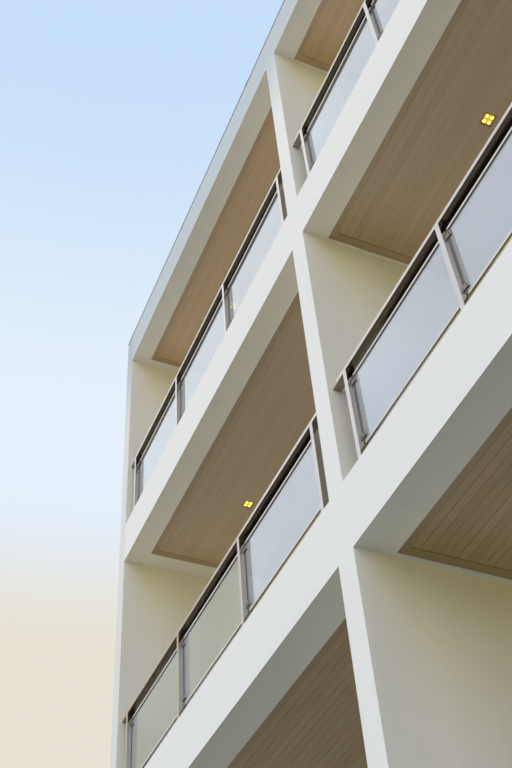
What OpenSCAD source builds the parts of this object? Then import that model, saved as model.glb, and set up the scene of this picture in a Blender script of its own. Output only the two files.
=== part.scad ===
// Apartment block of four storeys with recessed balconies behind a flush grid of bands and cross walls.
// The origin is the middle of the footprint at ground level; the balcony front faces -Y.

/* [Block] */
// Number of bays along the front
bay_count = 4; // [2:1:6]
// Clear width of one bay between its walls
bay_w = 4220; // [3900:10:4800]
// Depth of the block from the front to the rear
block_d = 9600; // [8000:50:12000]
// Height from one finished floor to the next
storey_h = 3200; // [3000:10:3500]
// Height of the ground floor above the ground
plinth_h = 150; // [100:10:400]

/* [Walls] */
// Thickness of the two end walls
end_wall_t = 180; // [120:5:300]
// Thickness of the cross walls between the balconies
cross_wall_t = 190; // [150:5:300]
// Thickness of the glazed wall behind the balconies
inner_wall_t = 200; // [150:5:300]
// Thickness of the rear wall
rear_wall_t = 250; // [180:5:350]
// Depth of the balconies from the front to the glazed wall
balcony_d = 1600; // [1400:10:2200]

/* [Floors and bands] */
// Thickness of the concrete floors and the roof slab
slab_t = 220; // [180:5:240]
// Thickness of the bands from front to back
band_t = 200; // [180:5:260]
// Height of the bands above the finished floor
upstand_h = 190; // [150:5:260]
// Depth of the band and ceiling underside below the finished floor
soffit_drop = 315; // [290:5:400]

/* [Balcony ceilings] */
// Thickness of the plaster ceiling and of the boarded panel set into it
ceiling_t = 20; // [12:1:30]
// Plaster in front of the boards, under the first and second floors
front_margin_lower = 70; // [20:5:120]
// Plaster in front of the boards, under the third floor and the roof
front_margin_upper = 20; // [10:5:80]
// Plaster beside the boards at a cross wall, under the first and second floors
side_margin_lower = 34; // [6:2:80]
// Plaster beside the boards at a cross wall, under the third floor and the roof
side_margin_upper = 16; // [6:2:80]
// Plaster beside the boards at an end wall, under the floors
end_margin = 205; // [60:5:300]
// Plaster beside the boards at an end wall, under the roof
roof_end_margin = 90; // [60:5:300]
// Plaster behind the boards
rear_margin = 25; // [10:5:80]

/* [Downlights] */
// Side of one square downlight
downlight_w = 96; // [70:2:120]
// Height of the downlight housing
downlight_h = 60; // [40:2:80]
// Depth of the open recess under the lamp
lamp_recess = 12; // [6:1:20]
// Width of the rim around the recess
lamp_rim = 6; // [3:1:12]
// Distance of the downlights from the middle of the first and last bay
end_downlight_x = 860; // [500:10:1200]
// Distance of the downlights from the middle of the other bays
downlight_x = 710; // [500:10:1200]
// Distance of the downlights behind the front
downlight_y = 875; // [600:5:1000]

/* [Railing] */
// Height of the handrail's top above the band
rail_h = 879; // [800:1:1000]
// Distance of the railing behind the front
rail_setback = 36; // [20:2:80]
// Height of the handrail
handrail_h = 34; // [25:1:60]
// Radius of the rounded edges of the handrail
handrail_r = 4; // [1:0.5:8]
// Depth of the handrail and of the posts
rail_d = 70; // [50:2:90]
// Width of the posts
post_w = 40; // [25:1:50]
// Distance from a wall to the middle of the nearest post in the first and last bay
end_post_gap = 155; // [100:5:300]
// Distance from a wall to the middle of the nearest post in the other bays
post_gap = 175; // [100:5:300]
// Distance between the two posts nearest to a wall in the other bays
outer_pitch = 1225; // [1000:5:1400]
// Number of glass panels in one bay
panel_count = 3; // [3:1:5]
// Thickness of the glass panels
glass_t = 12; // [8:1:17]
// Gap between a post and its glass
glass_gap = 10; // [6:1:20]
// Distance of the glass before the back of the posts
glass_back = 12; // [8:1:20]
// Gap under the glass, above the band
foot_gap = 183; // [60:1:240]
// Gap over the glass, under the handrail
head_gap = 44; // [30:1:90]
// Height of one glass clamp
clamp_h = 40; // [30:1:60]
// Thickness of one cheek of a clamp
clamp_cheek = 7; // [5:1:12]
// Grip of a clamp on the glass
clamp_grip = 24; // [15:1:40]
// Distance of the clamps from the glass's top and foot
clamp_inset = 60; // [30:5:120]
// Clearance between a clamp's cheek and the glass
clamp_clearance = 0.3; // [0.2:0.05:1]

/* [Doors and windows] */
// Width of the balcony door openings
door_w = 3000; // [2400:10:3600]
// Height of the balcony door openings
door_h = 2400; // [2100:10:2600]
// Number of lights in a balcony door
door_lights = 3; // [2:1:4]
// Width of the rear window openings
window_w = 1800; // [1200:10:2200]
// Height of the rear window openings
window_h = 1400; // [1000:10:1600]
// Height of the rear window openings above the floor
sill_h = 900; // [600:10:1100]
// Number of lights in a rear window
window_lights = 2; // [1:1:3]
// Width of the entrance opening in the rear wall
entrance_w = 1100; // [900:10:1300]
// Height of the entrance opening in the rear wall
entrance_h = 2300; // [2100:10:2500]
// Width of the frame members
frame_w = 60; // [40:1:90]
// Depth of the frame members
frame_d = 80; // [60:1:110]
// Distance of the frames behind the wall's outer face
frame_setback = 60; // [20:5:70]
// Thickness of the double glazing
pane_t = 24; // [20:1:36]
// Thickness of the entrance door leaf
leaf_t = 50; // [40:1:60]
// Width of the narrow glazed slot in the entrance door
slot_w = 160; // [100:5:240]
// Height of the narrow glazed slot in the entrance door
slot_h = 1500; // [1000:10:1700]
// Height of the slot's foot above the floor
slot_foot = 300; // [200:10:320]

/* [Roof] */
// Thickness of the sheet metal coping
coping_t = 3; // [2:0.5:6]
// Clearance between the walls and the coping's turned-down edges
coping_gap = 3; // [1:0.5:20]
// Height of the coping's turned-down edges below the top of the walls
coping_drop = 10; // [5:1:60]

/* [Hidden] */

// Storeys are counted 0 ground, 1 first, 2 second, 3 third; level 4 is the roof
top_storey = 3;
roof_level = top_storey + 1;
bays = [0 : bay_count - 1];
inner_w = bay_count * bay_w + (bay_count - 1) * cross_wall_t;
block_w = inner_w + 2 * end_wall_t;
left_x = -inner_w / 2;
front_y = -block_d / 2;
rear_y = block_d / 2;
inner_face_y = front_y + balcony_d;
rear_inner_y = rear_y - rear_wall_t;
rail_y = front_y + rail_setback;
even_pitch = (bay_w - 2 * end_post_gap) / panel_count;
inner_pitch = (bay_w - 2 * (post_gap + outer_pitch)) / (panel_count - 2);
glass_y = rail_y + rail_d - glass_back - glass_t;
glass_z = foot_gap;
glass_h = rail_h - handrail_h - head_gap - foot_gap;
coping_over = coping_gap + coping_t;
// Extra length that lets a cutter pass clean through a face
through = 10;

// Colours seen on the object
render_white = [0.86, 0.87, 0.86];
concrete_grey = [0.66, 0.66, 0.63];
plaster_grey = [0.74, 0.73, 0.68];
board_brown = [0.55, 0.45, 0.35];
satin_steel = [0.62, 0.60, 0.58];
rail_glass_blue = [0.74, 0.80, 0.85, 0.6];
frame_bronze = [0.27, 0.25, 0.23];
pane_grey = [0.45, 0.52, 0.56, 0.6];
lamp_yellow = [1.0, 0.82, 0.35];
coping_grey = [0.35, 0.37, 0.39];

// Levels and places
function floor_z(level) = plinth_h + level * storey_h;
function soffit_z(level) = floor_z(level) - soffit_drop;
function band_top_z(level) = floor_z(level) + upstand_h;
function bay_x(bay) = left_x + bay * (bay_w + cross_wall_t);
function bay_mid(bay) = bay_x(bay) + bay_w / 2;
function is_end_bay(bay) = bay == 0 || bay == bay_count - 1;
function front_margin(level) = level < top_storey ? front_margin_lower : front_margin_upper;
function wall_margin(level) = level == roof_level ? roof_end_margin : end_margin;
function side_margin(level) = level < top_storey ? side_margin_lower : side_margin_upper;
function left_margin(bay, level) = bay == 0 ? wall_margin(level) : side_margin(level);
function right_margin(bay, level) = bay == bay_count - 1 ? wall_margin(level) : side_margin(level);
parapet_z = band_top_z(roof_level);
// Posts stand evenly in the end bays; in the other bays the outer panels have a width of their own
function even_post(post) = end_post_gap + post * even_pitch;
function grouped_post(post) =
    post == 0 ? post_gap
    : post == panel_count ? bay_w - post_gap
    : post_gap + outer_pitch + (post - 1) * inner_pitch;
function post_x(bay, post) = bay_x(bay) + (is_end_bay(bay) ? even_post(post) : grouped_post(post));
// The entrance stands on the cross wall's line nearest the middle of the block
entrance_x = bay_x(floor(bay_count / 2)) - cross_wall_t / 2;

// Concrete floors
module floor_slab(level) {
    translate([left_x, front_y + band_t, floor_z(level) - slab_t])
        cube([inner_w, rear_inner_y - front_y - band_t, slab_t]);
}

module ground_slab() {
    color(concrete_grey)
        translate([left_x, front_y, 0])
            cube([inner_w, rear_inner_y - front_y, plinth_h]);
}

module first_floor() { color(concrete_grey) floor_slab(1); }
module second_floor() { color(concrete_grey) floor_slab(2); }
module third_floor() { color(concrete_grey) floor_slab(3); }
module roof_slab() { color(concrete_grey) floor_slab(roof_level); }

// End walls run the full depth and height
module end_wall() {
    translate([0, front_y, 0])
        cube([end_wall_t, block_d, parapet_z]);
}

module left_end_wall() {
    color(render_white)
        translate([left_x - end_wall_t, 0, 0]) end_wall();
}

module right_end_wall() {
    color(render_white)
        translate([-left_x, 0, 0]) end_wall();
}

// One cross wall of one storey: its side outline is notched round the bands and stands on the slab
module cross_wall_outline(storey) {
    foot_z = floor_z(storey);
    front_foot_z = storey == 0 ? foot_z : band_top_z(storey);
    head_z = floor_z(storey + 1) - slab_t;
    front_head_z = soffit_z(storey + 1);
    polygon([
        [0, front_foot_z], [band_t, front_foot_z], [band_t, foot_z], [balcony_d, foot_z],
        [balcony_d, head_z], [band_t, head_z], [band_t, front_head_z], [0, front_head_z]
    ]);
}

module cross_walls(storey) {
    for (bay = [1 : bay_count - 1])
        translate([bay_x(bay), front_y, 0])
            rotate([90, 0, -90])
                mirror([1, 0, 0])
                    linear_extrude(cross_wall_t)
                        cross_wall_outline(storey);
}

module ground_cross_walls() { color(render_white) cross_walls(0); }
module first_cross_walls() { color(render_white) cross_walls(1); }
module second_cross_walls() { color(render_white) cross_walls(2); }
module third_cross_walls() { color(render_white) cross_walls(3); }

// Bands across the front, flush with the cross walls
module band(level) {
    translate([left_x, front_y, soffit_z(level)])
        cube([inner_w, band_t, upstand_h + soffit_drop]);
}

module first_band() { color(render_white) band(1); }
module second_band() { color(render_white) band(2); }
module third_band() { color(render_white) band(3); }
module roof_band() { color(render_white) band(roof_level); }

// Glazed wall behind the balconies, with a door opening in each bay
module inner_wall(storey) {
    difference() {
        translate([left_x, inner_face_y, floor_z(storey)])
            cube([inner_w, inner_wall_t, storey_h - slab_t]);
        for (bay = bays)
            translate([bay_mid(bay) - door_w / 2, inner_face_y - through, floor_z(storey) - through])
                cube([door_w, inner_wall_t + 2 * through, door_h + through]);
    }
}

module ground_inner_wall() { color(plaster_grey) inner_wall(0); }
module first_inner_wall() { color(plaster_grey) inner_wall(1); }
module second_inner_wall() { color(plaster_grey) inner_wall(2); }
module third_inner_wall() { color(plaster_grey) inner_wall(3); }

// Rear wall of one storey between two levels, with a window opening in each bay
module rear_wall(storey, low_z, high_z) {
    difference() {
        translate([left_x, rear_inner_y, low_z])
            cube([inner_w, rear_wall_t, high_z - low_z]);
        for (bay = bays)
            translate([bay_mid(bay) - window_w / 2, rear_inner_y - through, floor_z(storey) + sill_h])
                cube([window_w, rear_wall_t + 2 * through, window_h]);
    }
}

module ground_rear_wall() {
    color(render_white)
        difference() {
            rear_wall(0, 0, floor_z(1));
            translate([entrance_x - entrance_w / 2, rear_inner_y - through, floor_z(0)])
                cube([entrance_w, rear_wall_t + 2 * through, entrance_h]);
        }
}

module first_rear_wall() { color(render_white) rear_wall(1, floor_z(1), floor_z(2)); }
module second_rear_wall() { color(render_white) rear_wall(2, floor_z(2), floor_z(3)); }
module third_rear_wall() { color(render_white) rear_wall(3, floor_z(3), parapet_z); }

// Boarded panel of one bay: the block that fills the opening in the plaster ceiling
module board_block(bay, level, low, high) {
    translate([
        bay_x(bay) + left_margin(bay, level),
        front_y + band_t + front_margin(level),
        soffit_z(level) + low
    ])
        cube([
            bay_w - left_margin(bay, level) - right_margin(bay, level),
            balcony_d - band_t - front_margin(level) - rear_margin,
            high - low
        ]);
}

module ceiling(level) {
    for (bay = bays)
        difference() {
            translate([bay_x(bay), front_y + band_t, soffit_z(level)])
                cube([bay_w, balcony_d - band_t, ceiling_t]);
            board_block(bay, level, -through, ceiling_t + through);
        }
}

module balcony_ceilings() {
    color(plaster_grey)
        for (level = [1 : roof_level])
            ceiling(level);
}

// Places the children at both downlights of a bay
module at_downlights(bay, level) {
    from_mid = is_end_bay(bay) ? end_downlight_x : downlight_x;
    for (side = [-1, 1])
        translate([bay_mid(bay) + side * from_mid, front_y + downlight_y, soffit_z(level)])
            children();
}

module boards(level) {
    for (bay = bays)
        difference() {
            board_block(bay, level, 0, ceiling_t);
            at_downlights(bay, level)
                translate([-downlight_w / 2, -downlight_w / 2, -through])
                    cube([downlight_w, downlight_w, ceiling_t + 2 * through]);
        }
}

module ground_boards() { color(board_brown) boards(1); }
module first_boards() { color(board_brown) boards(2); }
module second_boards() { color(board_brown) boards(3); }
module third_boards() { color(board_brown) boards(roof_level); }

// Downlight housing, let into the boards and open below
module downlight() {
    difference() {
        translate([-downlight_w / 2, -downlight_w / 2, 0])
            cube([downlight_w, downlight_w, downlight_h]);
        translate([-downlight_w / 2 + lamp_rim, -downlight_w / 2 + lamp_rim, -through])
            cube([downlight_w - 2 * lamp_rim, downlight_w - 2 * lamp_rim, lamp_recess + through]);
    }
}

module downlights() {
    color(lamp_yellow)
        for (level = [1 : roof_level])
            for (bay = bays)
                at_downlights(bay, level) downlight();
}

// Handrail section: a rectangle with rounded edges
module handrail_section() {
    translate([handrail_r, 0])
        square([rail_d - 2 * handrail_r, handrail_h]);
    translate([0, handrail_r])
        square([rail_d, handrail_h - 2 * handrail_r]);
    for (across = [handrail_r, rail_d - handrail_r])
        for (up = [handrail_r, handrail_h - handrail_r])
            translate([across, up])
                circle(handrail_r, $fn = 16);
}

// Handrails run from wall to wall over the posts
module handrails(storey) {
    for (bay = bays)
        translate([bay_x(bay), rail_y, band_top_z(storey) + rail_h - handrail_h])
            rotate([90, 0, 90])
                linear_extrude(bay_w)
                    handrail_section();
}

module first_handrails() { color(satin_steel) handrails(1); }
module second_handrails() { color(satin_steel) handrails(2); }
module third_handrails() { color(satin_steel) handrails(3); }

// Clamp that reaches from a post's side, at x = 0, over the edge of the glass; the glass's middle is at y = 0
module clamp() {
    slot_t = glass_t + 2 * clamp_clearance;
    body_t = slot_t + 2 * clamp_cheek;
    difference() {
        translate([-post_w / 2, -body_t / 2, -clamp_h / 2])
            cube([post_w / 2 + glass_gap + clamp_grip, body_t, clamp_h]);
        translate([glass_gap - clamp_clearance, -slot_t / 2, -clamp_h / 2 - through])
            cube([clamp_grip + through, slot_t, clamp_h + 2 * through]);
    }
}

module clamps() {
    for (up = [glass_z + clamp_inset, glass_z + glass_h - clamp_inset])
        translate([post_w / 2, rail_d - glass_back - glass_t / 2, up])
            clamp();
}

// One post with clamps towards each panel beside it
module post(has_left, has_right) {
    translate([-post_w / 2, 0, 0])
        cube([post_w, rail_d, rail_h - handrail_h]);
    if (has_right) clamps();
    if (has_left) mirror([1, 0, 0]) clamps();
}

module posts(storey) {
    for (bay = bays)
        for (number = [0 : panel_count])
            translate([post_x(bay, number), rail_y, band_top_z(storey)])
                post(number > 0, number < panel_count);
}

module first_posts() { color(satin_steel) posts(1); }
module second_posts() { color(satin_steel) posts(2); }
module third_posts() { color(satin_steel) posts(3); }

// Glass panels between the posts
module rail_glass(storey) {
    side_gap = post_w / 2 + glass_gap;
    for (bay = bays)
        for (number = [0 : panel_count - 1])
            translate([post_x(bay, number) + side_gap, glass_y, band_top_z(storey) + glass_z])
                cube([
                    post_x(bay, number + 1) - post_x(bay, number) - 2 * side_gap,
                    glass_t,
                    glass_h
                ]);
}

module first_rail_glass() { color(rail_glass_blue) rail_glass(1); }
module second_rail_glass() { color(rail_glass_blue) rail_glass(2); }
module third_rail_glass() { color(rail_glass_blue) rail_glass(3); }

// Frame with equal lights side by side, outer corner at the origin, outside towards -Y
function light_w(width, lights) = (width - (lights + 1) * frame_w) / lights;

module frame(width, height, lights) {
    difference() {
        cube([width, frame_d, height]);
        for (light = [0 : lights - 1])
            translate([frame_w + light * (light_w(width, lights) + frame_w), -through, frame_w])
                cube([light_w(width, lights), frame_d + 2 * through, height - 2 * frame_w]);
    }
}

module panes(width, height, lights) {
    for (light = [0 : lights - 1])
        translate([frame_w + light * (light_w(width, lights) + frame_w), (frame_d - pane_t) / 2, frame_w])
            cube([light_w(width, lights), pane_t, height - 2 * frame_w]);
}

// Places the children in every balcony door opening
module at_doors() {
    for (storey = [0 : top_storey])
        for (bay = bays)
            translate([bay_mid(bay) - door_w / 2, inner_face_y + frame_setback, floor_z(storey)])
                children();
}

module door_frames() { color(frame_bronze) at_doors() frame(door_w, door_h, door_lights); }
module door_glass() { color(pane_grey) at_doors() panes(door_w, door_h, door_lights); }

// Places the children in every rear window opening
module at_windows() {
    for (storey = [0 : top_storey])
        for (bay = bays)
            translate([
                bay_mid(bay) - window_w / 2,
                rear_y - frame_setback - frame_d,
                floor_z(storey) + sill_h
            ])
                children();
}

// Narrow slot in the entrance leaf, beside the lock edge
module entrance_slot(depth) {
    translate([entrance_w - 2 * frame_w - slot_w - frame_w, (frame_d - depth) / 2, slot_foot])
        cube([slot_w, depth, slot_h]);
}

module at_entrance() {
    translate([entrance_x - entrance_w / 2, rear_y - frame_setback - frame_d, floor_z(0)])
        children();
}

module window_frames() {
    color(frame_bronze)
        at_windows() frame(window_w, window_h, window_lights);
}

module window_glass() {
    color(pane_grey) {
        at_windows() panes(window_w, window_h, window_lights);
        at_entrance() entrance_slot(pane_t);
    }
}

module entrance_door() {
    color(frame_bronze)
        at_entrance() {
            difference() {
                cube([entrance_w, frame_d, entrance_h]);
                translate([frame_w, -through, -through])
                    cube([entrance_w - 2 * frame_w, frame_d + 2 * through, entrance_h - frame_w + through]);
            }
            difference() {
                translate([frame_w, (frame_d - leaf_t) / 2, 0])
                    cube([entrance_w - 2 * frame_w, leaf_t, entrance_h - frame_w]);
                entrance_slot(frame_d);
            }
        }
}

// Ring over the parapet between two levels, its outer and inner faces a distance past the walls
module parapet_ring(past, low_z, high_z) {
    difference() {
        translate([-block_w / 2 - past, front_y - past, low_z])
            cube([block_w + 2 * past, block_d + 2 * past, high_z - low_z]);
        translate([left_x + past, front_y + band_t + past, low_z - through])
            cube([
                inner_w - 2 * past,
                rear_inner_y - front_y - band_t - 2 * past,
                high_z - low_z + 2 * through
            ]);
    }
}

// Sheet metal coping folded down over both edges of the parapet
module roof_coping() {
    color(coping_grey)
        difference() {
            parapet_ring(coping_over, parapet_z - coping_drop, parapet_z + coping_t);
            parapet_ring(coping_gap, parapet_z - coping_drop - through, parapet_z);
        }
}

ground_slab();
first_floor();
second_floor();
third_floor();
roof_slab();
left_end_wall();
right_end_wall();
ground_cross_walls();
first_cross_walls();
second_cross_walls();
third_cross_walls();
first_band();
second_band();
third_band();
roof_band();
ground_inner_wall();
first_inner_wall();
second_inner_wall();
third_inner_wall();
ground_rear_wall();
first_rear_wall();
second_rear_wall();
third_rear_wall();
balcony_ceilings();
ground_boards();
first_boards();
second_boards();
third_boards();
downlights();
first_handrails();
second_handrails();
third_handrails();
first_posts();
second_posts();
third_posts();
first_rail_glass();
second_rail_glass();
third_rail_glass();
door_frames();
door_glass();
window_frames();
window_glass();
entrance_door();
roof_coping();
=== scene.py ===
# %% [markdown]
# # Apartment block with recessed balconies
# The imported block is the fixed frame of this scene: floors, walls, railings, doors and windows stand where
# they were built, and Blender gives them their finish. What repeats hundreds of times on the real house,
# such as ceiling boards, floor tiles and clamp screws, is added here, mostly by Geometry Nodes.

import math

import bmesh
import bpy
from mathutils import Matrix, Vector


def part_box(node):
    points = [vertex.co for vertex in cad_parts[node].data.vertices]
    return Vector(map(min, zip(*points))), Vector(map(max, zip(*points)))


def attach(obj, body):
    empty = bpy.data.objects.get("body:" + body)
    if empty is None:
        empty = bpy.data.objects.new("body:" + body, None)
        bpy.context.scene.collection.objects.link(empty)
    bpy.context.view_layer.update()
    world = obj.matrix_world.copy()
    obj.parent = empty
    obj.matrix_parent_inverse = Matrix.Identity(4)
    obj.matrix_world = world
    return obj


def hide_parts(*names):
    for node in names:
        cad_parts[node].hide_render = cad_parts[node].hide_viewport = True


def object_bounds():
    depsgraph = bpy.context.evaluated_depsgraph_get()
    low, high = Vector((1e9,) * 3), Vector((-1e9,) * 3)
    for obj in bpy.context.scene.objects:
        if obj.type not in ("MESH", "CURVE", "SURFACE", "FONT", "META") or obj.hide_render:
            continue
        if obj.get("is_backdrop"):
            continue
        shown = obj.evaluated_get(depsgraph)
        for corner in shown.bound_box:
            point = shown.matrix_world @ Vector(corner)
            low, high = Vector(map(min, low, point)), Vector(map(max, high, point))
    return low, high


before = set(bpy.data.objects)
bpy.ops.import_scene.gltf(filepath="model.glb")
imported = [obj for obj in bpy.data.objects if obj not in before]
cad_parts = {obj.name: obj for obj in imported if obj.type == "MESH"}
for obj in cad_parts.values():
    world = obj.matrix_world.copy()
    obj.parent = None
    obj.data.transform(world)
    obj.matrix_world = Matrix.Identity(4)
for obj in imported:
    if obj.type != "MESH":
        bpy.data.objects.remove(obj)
cad_low, cad_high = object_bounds()
scene = bpy.context.scene
print("the block is", [round(side, 3) for side in cad_high - cad_low], "m")

# %% [markdown]
# ## Where things are
# One node can hold several pieces, such as the four handrails of a storey. Pieces that do not touch are told
# apart by walking from corner to corner along shared places, as a paint bucket fills a shape. Each piece
# gets a box, and everything below is placed from such boxes.

# %% Boxes of separate pieces
WELD = 5


def solids(node):
    """Lowest and highest corner of each separate piece in a node, sorted from below and from the left."""
    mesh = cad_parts[node].data
    leader = {}

    def find(place):
        while leader[place] != place:
            place = leader[place]
        return place

    places = [tuple(round(value, WELD) for value in vertex.co) for vertex in mesh.vertices]
    for place in places:
        leader.setdefault(place, place)
    for polygon in mesh.polygons:
        first = find(places[polygon.vertices[0]])
        for index in polygon.vertices[1:]:
            leader[find(places[index])] = first
    boxes = {}
    for place in leader:
        low, high = boxes.setdefault(find(place), (Vector(place), Vector(place)))
        for axis in range(3):
            low[axis] = min(low[axis], place[axis])
            high[axis] = max(high[axis], place[axis])
    return sorted(boxes.values(), key=lambda box: (round(box[0].z, 2), round(box[0].x, 2)))


print("handrails on the first floor:", len(solids("first_handrails")))

# %% [markdown]
# ## Camera
# The picture was taken from the ground in front of the middle of the block, looking up and to the left. The
# edges of bands, cross walls and ceilings meet in three vanishing points, which give the turn of the camera
# and its focal length. The rows below are its right, down and forward directions in the block's frame.

# %% Camera at the picture's viewpoint
PICTURE_HEIGHT = 768
FOCAL_PIXELS = 1072.58
SENSOR = 36.0
EYE = Vector((-0.1727, -7.4493, 2.3388))
RIGHT = Vector((0.39550, 0.91655, -0.05924))
DOWN = Vector((-0.69456, 0.25626, -0.67224))
FORWARD = Vector((-0.60097, 0.30702, 0.73796))


def in_scene(name, data):
    """A new object in the scene."""
    made = bpy.data.objects.new(name, data)
    scene.collection.objects.link(made)
    return made


camera = in_scene("camera", bpy.data.cameras.new("camera"))
camera.data.sensor_width = SENSOR
camera.data.lens = FOCAL_PIXELS / PICTURE_HEIGHT * SENSOR
turn = Matrix((RIGHT, -DOWN, -FORWARD)).transposed().to_4x4()
camera.matrix_world = Matrix.Translation(EYE) @ turn
scene.camera = camera
print("lens", round(camera.data.lens, 2), "mm, eye", round(EYE.z, 2), "m above the ground")

# %% [markdown]
# ## Nodes in one line each
# Shader trees and Geometry Nodes trees are built alike: a node is added, some of its settings change, and
# its sockets get values or links. One helper does all three, and a few more stand for the commonest nodes.

# %% Helpers that add nodes
def add(tree, kind, sockets=None, **settings):
    """Adds a node, applies its settings, and sets or links the sockets given by name or number."""
    made = tree.nodes.new(kind)
    for name, value in settings.items():
        setattr(made, name, value)
    for name, value in (sockets or {}).items():
        if isinstance(value, bpy.types.NodeSocket):
            tree.links.new(value, made.inputs[name])
        else:
            made.inputs[name].default_value = value
    return made


def math_node(tree, operation, first, second=0.0, clamp=False):
    """The output of a Math node."""
    return add(tree, "ShaderNodeMath", {0: first, 1: second}, operation=operation, use_clamp=clamp).outputs[0]


def times(tree, first, second):
    """Two numbers multiplied."""
    return math_node(tree, "MULTIPLY", first, second)


def remap(tree, value, low_in, high_in, low_out=0.0, high_out=1.0, way="LINEAR"):
    """A value carried from one range to another, and held at its ends."""
    sockets = {"Value": value, "From Min": low_in, "From Max": high_in, "To Min": low_out, "To Max": high_out}
    return add(tree, "ShaderNodeMapRange", sockets, clamp=True, interpolation_type=way).outputs[0]


def blend(tree, factor, first, second, mode="MIX"):
    """Two colours blended by a factor."""
    sockets = {0: factor, 6: first, 7: second}
    return add(tree, "ShaderNodeMix", sockets, data_type="RGBA", blend_type=mode).outputs[2]


def shaded(tree, colour, share):
    """A colour multiplied by a share or by another colour."""
    return blend(tree, 1.0, colour, share, mode="MULTIPLY")


def coordinates(tree, kind="Object"):
    """One kind of texture coordinates, by default the place on the object in metres."""
    return add(tree, "ShaderNodeTexCoord").outputs[kind]


def axes(tree, vector=None):
    """The three numbers of a vector, by default those of the place on the object."""
    return add(tree, "ShaderNodeSeparateXYZ", {0: vector or coordinates(tree)}).outputs


print("node helpers ready")

# %% [markdown]
# ## Light
# An overcast sky lights the real front softly from above, and the ground throws much of it back. Here a
# plain pale world and a wide soft lamp do the same. What the camera, a mirror or a pane sees is separate:
# behind the block a sweep from a cream haze to pale blue, and in front, where steel and glass mirror it, a
# pale sky that turns greyer to the right, with low green trees on the left.

# %% What is seen of the world
def heights(*degrees):
    """How high directions at these elevations reach on a sphere of radius one."""
    return [math.sin(math.radians(angle)) for angle in degrees]


HAZE = (0.80, 0.76, 0.66, 1)
SKY_LOW = (0.78, 0.87, 0.97, 1)
SKY_HIGH = (0.57, 0.74, 0.95, 1)
HAZE_TOP = heights(34, 42)
BLUE_TOP = heights(46, 66)
SKY_BEFORE = (0.87, 0.94, 1.0, 1)
SKY_GREY = (0.61, 0.67, 0.77, 1)
GREY_RANGE = (0.99, 1.30)
GREY_LEAN = 0.27
TREES = (0.50, 0.495, 0.41, 1)
TREE_TOP = heights(39, 43)
TREE_LEFT = (2.065, 2.135)
SEAM = (-0.15, 0.0)


def seen_directly(tree):
    """1 for rays from the camera, a mirror or a pane, and 0 for rays that gather light."""
    path = add(tree, "ShaderNodeLightPath").outputs
    some = math_node(tree, "ADD", path["Is Camera Ray"], path["Is Glossy Ray"], clamp=True)
    return math_node(tree, "ADD", some, path["Is Transmission Ray"], clamp=True)


def sky_behind(tree, way):
    """Haze low down and blue high up."""
    blue = blend(tree, remap(tree, way[2], *BLUE_TOP, way="SMOOTHSTEP"), SKY_LOW, SKY_HIGH)
    return blend(tree, remap(tree, way[2], *HAZE_TOP, way="SMOOTHSTEP"), HAZE, blue)


def sky_before(tree, way):
    """Pale sky, greyer low down and to the right, and trees that stand to the left of a line."""
    left = math_node(tree, "DIVIDE", way[0], way[1])
    lift = math_node(tree, "ADD", times(tree, left, GREY_LEAN), way[2])
    pale = blend(tree, remap(tree, lift, *GREY_RANGE), SKY_GREY, SKY_BEFORE)
    low = remap(tree, way[2], *TREE_TOP, 1.0, 0.0, way="SMOOTHSTEP")
    return blend(tree, times(tree, low, remap(tree, left, *TREE_LEFT)), pale, TREES)


def sky_sweep(tree):
    """Pale colour of the world for each direction."""
    way = axes(tree, coordinates(tree, "Generated"))
    behind = remap(tree, way[1], *SEAM, way="SMOOTHSTEP")
    return blend(tree, behind, sky_before(tree, way), sky_behind(tree, way))


print("haze up to", [round(math.degrees(math.asin(height))) for height in HAZE_TOP], "degrees")

# %% World and lamp
SKY_LIGHT = (0.94, 0.97, 1.0, 1)
SKY_STRENGTH = 1.3
SUN_STRENGTH = 0.35
SUN_WIDTH = 60
SUN_TURN = (62, 0, 18)
world = bpy.data.worlds.new("pale_sky")
world.use_nodes = True
sky = world.node_tree
sky.nodes.clear()
light_part = add(sky, "ShaderNodeBackground", {"Color": SKY_LIGHT, "Strength": SKY_STRENGTH}).outputs[0]
seen_part = add(sky, "ShaderNodeBackground", {"Color": sky_sweep(sky), "Strength": 1.0}).outputs[0]
both = add(sky, "ShaderNodeMixShader", {0: seen_directly(sky), 1: light_part, 2: seen_part}).outputs[0]
add(sky, "ShaderNodeOutputWorld", {"Surface": both})
scene.world = world
scene.view_settings.view_transform = "Standard"

lamp = in_scene("soft_sun", bpy.data.lights.new("soft_sun", "SUN"))
lamp.data.energy = SUN_STRENGTH
lamp.data.angle = math.radians(SUN_WIDTH)
lamp.rotation_euler = [math.radians(angle) for angle in SUN_TURN]
print("sky light", SKY_STRENGTH, "sun", SUN_STRENGTH)

# %% [markdown]
# ## Floor
# A plain pale floor carries the block and its shadow. It throws light back as the real ground does: less
# near the block, and more and warmer further out, where the upper ceilings get theirs. The steel mirrors a
# dark ground.

# %% Floor
FLOOR_HALF = 150.0
FLOOR_DROP = 0.002
FLOOR_SEEN = (0.68, 0.69, 0.70, 1)
NEAR_BOUNCE = (0.32, 0.33, 0.32, 1)
FAR_BOUNCE = (0.86, 0.80, 0.67, 1)
MIRRORED = (0.055, 0.048, 0.040, 1)
NEAR_END = 3.0
FAR_START = 16.0


def new_material(name):
    """A material whose node tree is still empty, and the tree."""
    material = bpy.data.materials.new(name)
    material.use_nodes = True
    material.node_tree.nodes.clear()
    return material, material.node_tree


def corners(x0, x1, y0, y1):
    """The four corners of a rectangle, one after another."""
    return [(x0, y0), (x1, y0), (x1, y1), (x0, y1)]


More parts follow.
